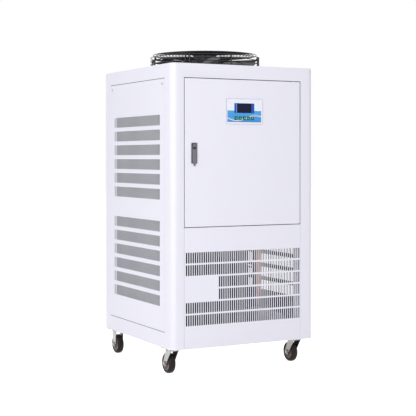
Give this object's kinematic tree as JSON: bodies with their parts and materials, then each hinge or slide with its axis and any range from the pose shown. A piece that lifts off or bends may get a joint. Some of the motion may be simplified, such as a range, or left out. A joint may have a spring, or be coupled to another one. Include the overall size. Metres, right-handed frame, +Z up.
{
  "type": "recirculating chiller",
  "caption": "Floor-standing recirculating water chiller in a white sheet-metal cabinet on castors, with an opening door, controller, punched vents and a guarded top fan.",
  "frame": {"origin": "on the floor, under the middle of the outline with its front lock and rear fittings", "axes": "+X to the right seen from the door side, +Y to the rear, +Z up"},
  "size_m": [0.6052, 0.6954, 1.197],
  "materials": {
    "brass": "turned brass",
    "cabinet_paint": "white powder coat",
    "compressor_black": "black enamel",
    "condenser": "aluminium fins",
    "controller_white": "white moulded case",
    "copper": "drawn copper",
    "fan_black": "black painted steel",
    "galvanised": "galvanised sheet",
    "gear_plastic": "light grey moulding",
    "guard_black": "black dipped wire",
    "hub_plastic": "grey moulded hub",
    "key_green": "green keys",
    "lever_red": "red dipped lever",
    "nylon_black": "black nylon",
    "panel_paint": "white powder coat",
    "pump_grey": "grey enamel",
    "rubber": "matt black rubber",
    "screen": "dark blue display window",
    "tank_steel": "stainless sheet",
    "tyre": "dark rubber tread",
    "zinc_cast": "satin zinc die casting",
    "zinc_plate": "bright zinc plate"
  },
  "bodies": {
    "cabinet": {"base_pan": "cabinet_paint", "cabinet_frame": "cabinet_paint", "cable_gland": "nylon_black", "case_screws": "zinc_plate", "castor_axles_rear": "zinc_plate", "castor_bolts": "zinc_plate", "castor_forks_rear": "zinc_plate", "castor_plate_front_left": "zinc_plate", "castor_plate_front_right": "zinc_plate", "compressor": "compressor_black", "compressor_feet": "rubber", "condenser_left": "condenser", "condenser_right": "condenser", "control_gear": "gear_plastic", "discharge_pipe": "copper", "drain_valve": "brass", "electrical_box": "galvanised", "fan_guard": "guard_black", "fan_motor": "fan_black", "fan_ring": "cabinet_paint", "front_grille_panel": "panel_paint", "hinge_leaves_frame": "zinc_plate", "liquid_line": "copper", "rear_panel": "panel_paint", "side_panel_left": "panel_paint", "side_panel_right": "panel_paint", "suction_pipe": "copper", "water_hoses": "rubber", "water_ports": "brass", "water_pump": "pump_grey", "water_tank": "tank_steel"},
    "door": {"door": "panel_paint", "door_gasket": "rubber", "hinge_leaves_door": "zinc_plate", "controller_housing": "controller_white", "controller_screen": "screen", "latch_housing": "zinc_cast"},
    "latch_button": {"latch_button": "zinc_cast"},
    "latch_handle": {"latch_handle": "zinc_cast"},
    "latch_bolt": {"latch_bolt": "zinc_cast"},
    "fan": {"fan_rotor": "fan_black"},
    "drain_lever": {"drain_handle": "lever_red"},
    "filler_cap": {"filler_cap": "nylon_black"},
    "key_1": {"controller_key_1": "key_green"},
    "key_2": {"controller_key_2": "key_green"},
    "key_3": {"controller_key_3": "key_green"},
    "key_4": {"controller_key_4": "key_green"},
    "key_5": {"controller_key_5": "key_green"},
    "castor_front_left": {"castor_fork_front_left": "zinc_plate", "castor_axle_front_left": "zinc_plate"},
    "wheel_front_left": {"castor_hub_front_left": "hub_plastic", "castor_tyre_front_left": "tyre"},
    "castor_front_right": {"castor_fork_front_right": "zinc_plate", "castor_axle_front_right": "zinc_plate"},
    "wheel_front_right": {"castor_hub_front_right": "hub_plastic", "castor_tyre_front_right": "tyre"},
    "wheel_rear_left": {"castor_hub_rear_left": "hub_plastic", "castor_tyre_rear_left": "tyre"},
    "wheel_rear_right": {"castor_hub_rear_right": "hub_plastic", "castor_tyre_rear_right": "tyre"}
  },
  "joints": [
    {"name": "door_hinge", "type": "hinge", "parent": "cabinet", "child": "door", "pos_m": [0.214, -0.3313, 0.539], "axis": [0, 0, 1], "range_deg": [0, 110]},
    {"name": "latch_button_press", "type": "slide", "parent": "door", "child": "latch_button", "axis": [0, 1, 0], "range_m": [0, 0.003], "stiffness_N_per_m": 400},
    {"name": "latch_handle_lift", "type": "hinge", "parent": "door", "child": "latch_handle", "pos_m": [-0.21, -0.3383, 0.82], "axis": [-1, 0, 0], "range_deg": [0, 35]},
    {"name": "latch_bolt_throw", "type": "slide", "parent": "door", "child": "latch_bolt", "axis": [-1, 0, 0], "range_m": [0, 0.01]},
    {"name": "key_1_press", "type": "slide", "parent": "door", "child": "key_1", "axis": [0, 1, 0], "range_m": [0, 0.001], "stiffness_N_per_m": 600},
    {"name": "key_2_press", "type": "slide", "parent": "door", "child": "key_2", "axis": [0, 1, 0], "range_m": [0, 0.001], "stiffness_N_per_m": 600},
    {"name": "key_3_press", "type": "slide", "parent": "door", "child": "key_3", "axis": [0, 1, 0], "range_m": [0, 0.001], "stiffness_N_per_m": 600},
    {"name": "key_4_press", "type": "slide", "parent": "door", "child": "key_4", "axis": [0, 1, 0], "range_m": [0, 0.001], "stiffness_N_per_m": 600},
    {"name": "key_5_press", "type": "slide", "parent": "door", "child": "key_5", "axis": [0, 1, 0], "range_m": [0, 0.001], "stiffness_N_per_m": 600},
    {"name": "fan_spin", "type": "hinge", "parent": "cabinet", "child": "fan", "pos_m": [0, -0.0203, 1.13], "axis": [0, 0, 1], "continuous": true},
    {"name": "drain_lever_turn", "type": "hinge", "parent": "cabinet", "child": "drain_lever", "pos_m": [-0.06, 0.3217, 0.25], "axis": [0, 0, 1], "range_deg": [0, 90]},
    {"name": "filler_cap_turn", "type": "hinge", "parent": "cabinet", "child": "filler_cap", "pos_m": [-0.15, 0.3177, 0.43], "axis": [0, 1, 0], "continuous": true},
    {"name": "castor_front_left_swivel", "type": "hinge", "parent": "cabinet", "child": "castor_front_left", "pos_m": [-0.262, -0.2683, 0.1], "axis": [0, 0, 1], "continuous": true},
    {"name": "wheel_front_left_roll", "type": "hinge", "parent": "castor_front_left", "child": "wheel_front_left", "pos_m": [-0.262, -0.2373, 0.0375], "axis": [1, 0, 0], "continuous": true},
    {"name": "castor_front_right_swivel", "type": "hinge", "parent": "cabinet", "child": "castor_front_right", "pos_m": [0.262, -0.2683, 0.1], "axis": [0, 0, 1], "continuous": true},
    {"name": "wheel_front_right_roll", "type": "hinge", "parent": "castor_front_right", "child": "wheel_front_right", "pos_m": [0.262, -0.2373, 0.0375], "axis": [1, 0, 0], "continuous": true},
    {"name": "wheel_rear_left_roll", "type": "hinge", "parent": "cabinet", "child": "wheel_rear_left", "pos_m": [-0.262, 0.2377, 0.0375], "axis": [1, 0, 0], "continuous": true},
    {"name": "wheel_rear_right_roll", "type": "hinge", "parent": "cabinet", "child": "wheel_rear_right", "pos_m": [0.262, 0.2377, 0.0375], "axis": [1, 0, 0], "continuous": true}
  ]
}
